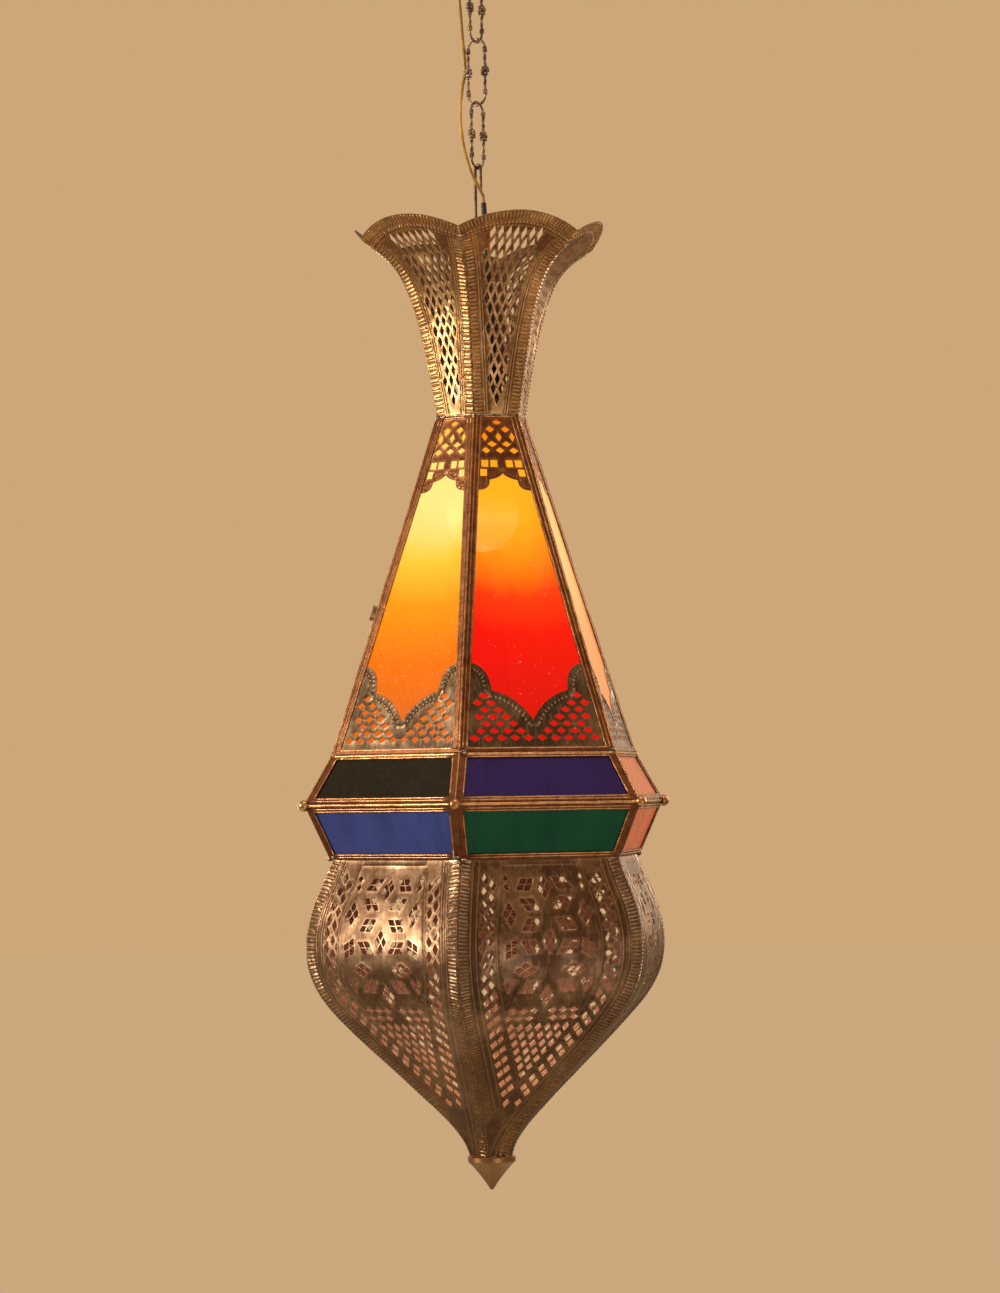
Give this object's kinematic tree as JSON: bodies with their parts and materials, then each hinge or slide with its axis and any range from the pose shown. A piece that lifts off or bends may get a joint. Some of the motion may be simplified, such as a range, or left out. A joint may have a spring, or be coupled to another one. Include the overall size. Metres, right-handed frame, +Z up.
{
  "type": "hexagonal hanging lantern",
  "caption": "Hexagonal hanging lantern of pierced brass sheet and coloured glass, with a flared crown, glazed cone with a door, glass belt and onion base, on a decorative chain.",
  "frame": {"origin": "centre of the ceiling face of the fixing bar, on the hanging line", "axes": "+Z up along the hanging line, +X towards the middle of glazed face 1, the door face looks towards -X"},
  "size_m": [0.2514, 0.289, 0.9281],
  "materials": {
    "plated_steel": "zinc plated",
    "cover_brass": "aged satin",
    "dark_iron": "bronzed, worn",
    "black_plastic": "matt",
    "flex_yellow": "satin",
    "lamp_cap": "satin",
    "opal_glass": "frosted",
    "pierced_brass": "aged, chased",
    "frame_bronze": "aged, soldered",
    "hinge_steel": "drawn wire",
    "glass_salmon": "clear",
    "glass_amber": "clear",
    "glass_red": "clear",
    "glass_violet": "clear",
    "glass_olive": "clear",
    "glass_green": "clear",
    "glass_blue": "clear"
  },
  "bodies": {
    "ceiling": {"ceiling_bar": "plated_steel", "ceiling_canopy": "cover_brass", "ceiling_hook": "dark_iron", "canopy_nut": "plated_steel", "canopy_bush": "black_plastic", "flex_top": "flex_yellow"},
    "link_top": {"chain_link_top": "dark_iron", "flex_upper": "flex_yellow"},
    "link_middle": {"chain_link_middle": "dark_iron", "flex_middle": "flex_yellow"},
    "link_bottom": {"chain_link_bottom": "dark_iron", "flex_lower": "flex_yellow"},
    "lantern": {"hanging_hook": "dark_iron", "hook_nuts": "plated_steel", "hook_bar": "frame_bronze", "flex_sleeve": "black_plastic", "lamp_strap": "plated_steel", "lampholder_nut": "plated_steel", "lampholder": "black_plastic", "neck_collar": "frame_bronze", "crown_petal_1": "pierced_brass", "crown_petal_2": "pierced_brass", "crown_petal_3": "pierced_brass", "crown_petal_4": "pierced_brass", "crown_petal_5": "pierced_brass", "crown_petal_6": "pierced_brass", "cone_frame": "frame_bronze", "cone_pane_1": "glass_salmon", "cone_pane_2": "glass_amber", "cone_pane_3": "glass_red", "cone_pane_5": "glass_amber", "cone_pane_6": "glass_red", "cone_tracery_1": "pierced_brass", "cone_tracery_2": "pierced_brass", "cone_tracery_3": "pierced_brass", "cone_tracery_5": "pierced_brass", "cone_tracery_6": "pierced_brass", "door_hinge_pins": "hinge_steel", "belt_frame": "frame_bronze", "belt_knobs": "frame_bronze", "belt_upper_panes_amber": "glass_salmon", "belt_upper_panes_violet": "glass_violet", "belt_upper_panes_olive": "glass_olive", "belt_lower_panes_orange": "glass_salmon", "belt_lower_panes_green": "glass_green", "belt_lower_panes_blue": "glass_blue", "onion_gore_1": "pierced_brass", "onion_gore_2": "pierced_brass", "onion_gore_3": "pierced_brass", "onion_gore_4": "pierced_brass", "onion_gore_5": "pierced_brass", "onion_gore_6": "pierced_brass", "finial": "frame_bronze"},
    "door": {"door_frame": "frame_bronze", "door_pane": "glass_amber", "door_tracery": "pierced_brass", "door_clip": "frame_bronze"},
    "bulb": {"bulb_cap": "lamp_cap", "bulb_glass": "opal_glass"}
  },
  "joints": [
    {"name": "chain_top_swing", "type": "hinge", "parent": "ceiling", "child": "link_top", "pos_m": [0, 0, -0.0435], "axis": [0.8988, -0.4384, 0], "range_deg": [-25, 25], "deforming": ["flex_top"]},
    {"name": "chain_middle_swing", "type": "hinge", "parent": "link_top", "child": "link_middle", "pos_m": [0, 0, -0.0891], "axis": [0.4384, 0.8988, 0], "range_deg": [-25, 25], "deforming": ["flex_upper"]},
    {"name": "chain_bottom_swing", "type": "hinge", "parent": "link_middle", "child": "link_bottom", "pos_m": [0, 0, -0.1357], "axis": [0.8988, -0.4384, 0], "range_deg": [-25, 25], "deforming": ["flex_middle"]},
    {"name": "lantern_swing", "type": "hinge", "parent": "link_bottom", "child": "lantern", "pos_m": [0, 0, -0.1823], "axis": [0.4384, 0.8988, 0], "range_deg": [-25, 25], "deforming": ["flex_lower"]},
    {"name": "door_hinge", "type": "hinge", "parent": "lantern", "child": "door", "pos_m": [-0.10415, 0.05368, -0.61046], "axis": [-0.2799, 0.1616, -0.9463], "range_deg": [0, 100]},
    {"name": "bulb_draw", "type": "slide", "parent": "lantern", "child": "bulb", "axis": [0, 0, -1], "range_m": [0, 0.035]}
  ]
}
